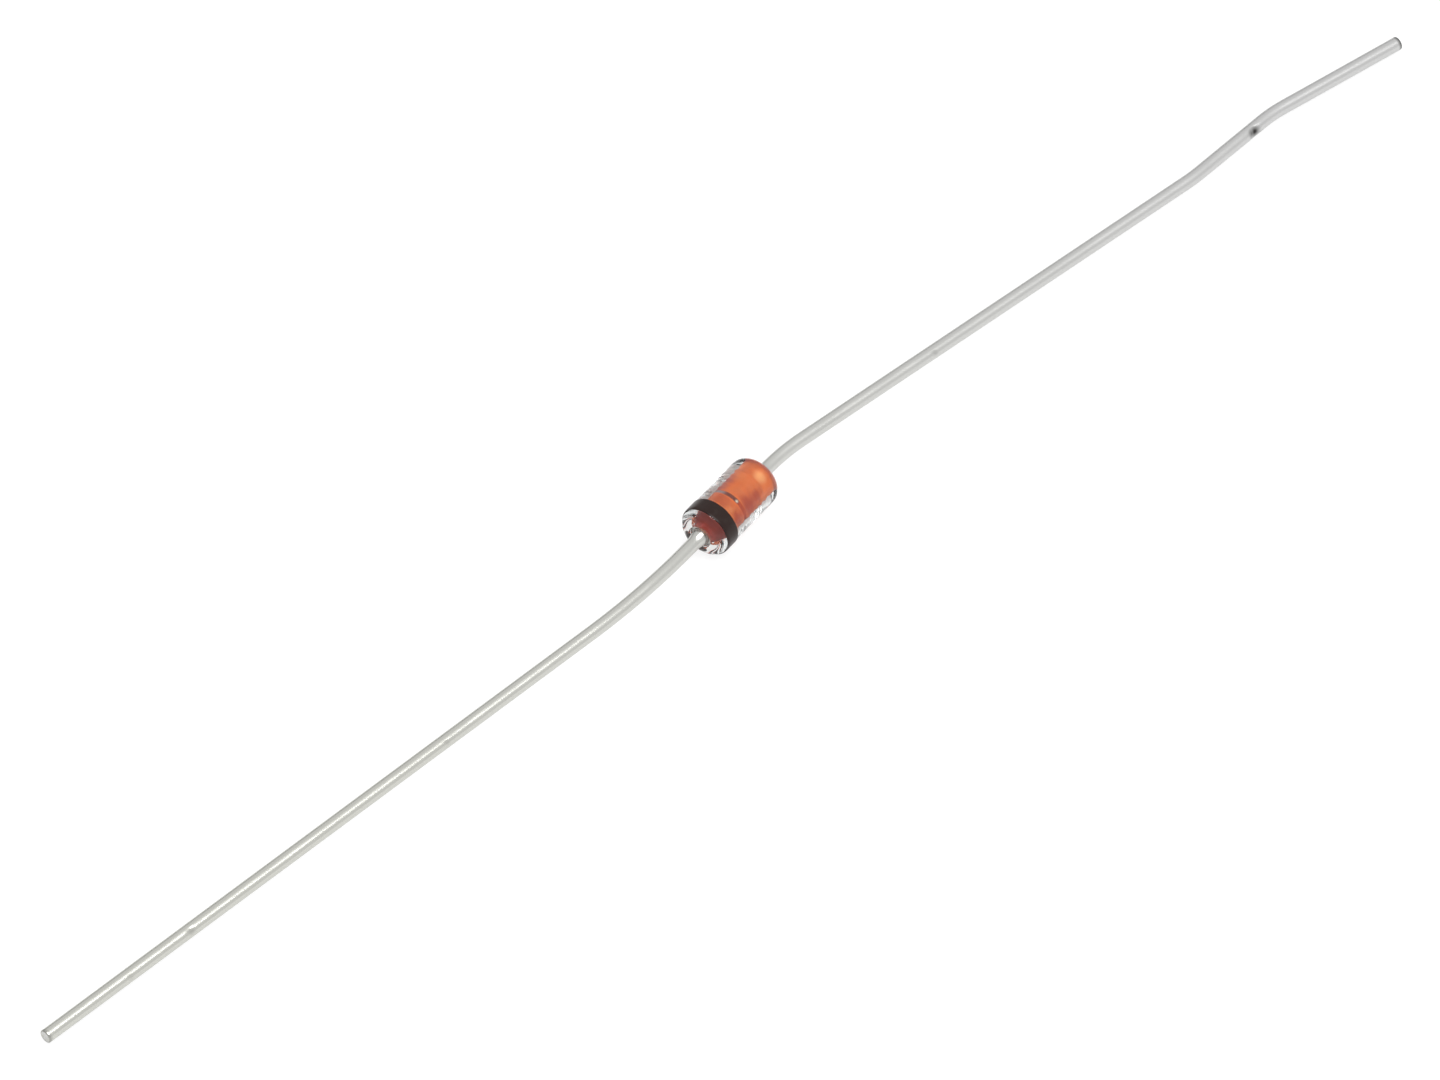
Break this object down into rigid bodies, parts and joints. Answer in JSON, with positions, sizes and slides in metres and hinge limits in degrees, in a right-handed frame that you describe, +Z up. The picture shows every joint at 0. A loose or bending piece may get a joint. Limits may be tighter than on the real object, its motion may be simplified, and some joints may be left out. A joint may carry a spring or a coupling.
{
  "type": "zener diode",
  "caption": "Axial glass zener diode: clear sleeve over copper-red studs, painted cathode band and gently bent tinned wire leads.",
  "frame": {"origin": "middle of the glass sleeve, on its axis", "axes": "+X along the sleeve's axis from the banded cathode end to the anode end, +Z up with the part lying on a flat surface"},
  "size_m": [0.0623, 0.0108, 0.0018],
  "materials": {
    "glass": "clear, fire-polished",
    "band_paint": "glossy black paint",
    "stud_copper": "copper-red oxide under glass",
    "silicon": "dark grey, polished",
    "contact_silver": "bright",
    "tinned_wire": "satin tin"
  },
  "bodies": {
    "root": {"glass_sleeve": "glass", "cathode_band": "band_paint", "cathode_stud": "stud_copper", "anode_stud": "stud_copper", "zener_die": "silicon", "die_bump": "contact_silver", "cathode_lead": "tinned_wire", "anode_lead": "tinned_wire"}
  },
  "joints": []
}
